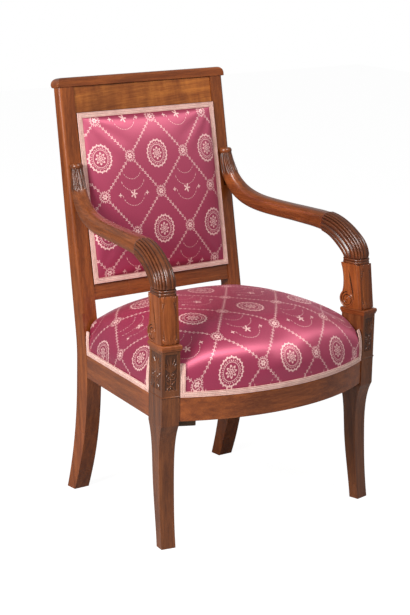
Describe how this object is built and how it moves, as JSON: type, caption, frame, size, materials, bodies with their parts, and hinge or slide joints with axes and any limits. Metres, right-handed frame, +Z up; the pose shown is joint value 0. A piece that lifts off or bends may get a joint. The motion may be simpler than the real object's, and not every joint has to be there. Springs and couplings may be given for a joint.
{
  "type": "armchair",
  "caption": "Open show-wood armchair with sabre legs, scrolled arms on reeded shoulders, bowed stuffed seat and upholstered raked back.",
  "frame": {"origin": "on the floor, under the centre of the bounding box", "axes": "+Z up, the sitter faces -Y, +X to the right of someone who looks at the chair from the front"},
  "size_m": [0.5942, 0.5761, 0.9236],
  "materials": {
    "mahogany": "french polish",
    "figured_mahogany": "french polish",
    "frame_wood": "sawn, unpolished",
    "silk": "figured silk satin",
    "braid": "woven gimp",
    "webbing": "jute webbing",
    "hessian": "hessian",
    "stuffing": "hair stuffing",
    "outside_cloth": "plain silk"
  },
  "bodies": {
    "root": {"arm_dowels": "frame_wood", "back_cover": "silk", "back_gimp": "braid", "back_hessian": "hessian", "back_pad_frame": "frame_wood", "back_stuffing": "stuffing", "back_webbing": "webbing", "crest_cap": "mahogany", "crest_panel": "figured_mahogany", "front_seat_rail": "mahogany", "left_arm": "mahogany", "left_arm_support": "mahogany", "left_back_post": "mahogany", "left_front_corner_block": "frame_wood", "left_front_leg": "mahogany", "left_post_cap": "mahogany", "left_rear_corner_block": "frame_wood", "left_side_rail": "mahogany", "lower_back_rail": "mahogany", "outside_back_cloth": "outside_cloth", "outside_back_gimp": "braid", "rear_seat_rail": "frame_wood", "right_arm": "mahogany", "right_arm_support": "mahogany", "right_back_post": "mahogany", "right_front_corner_block": "frame_wood", "right_front_leg": "mahogany", "right_post_cap": "mahogany", "right_rear_corner_block": "frame_wood", "right_side_rail": "mahogany", "seat_cover": "silk", "seat_gimp": "braid", "seat_hessian": "hessian", "seat_stuffing": "stuffing", "seat_webbing_cross": "webbing", "seat_webbing_long": "webbing"}
  },
  "joints": []
}
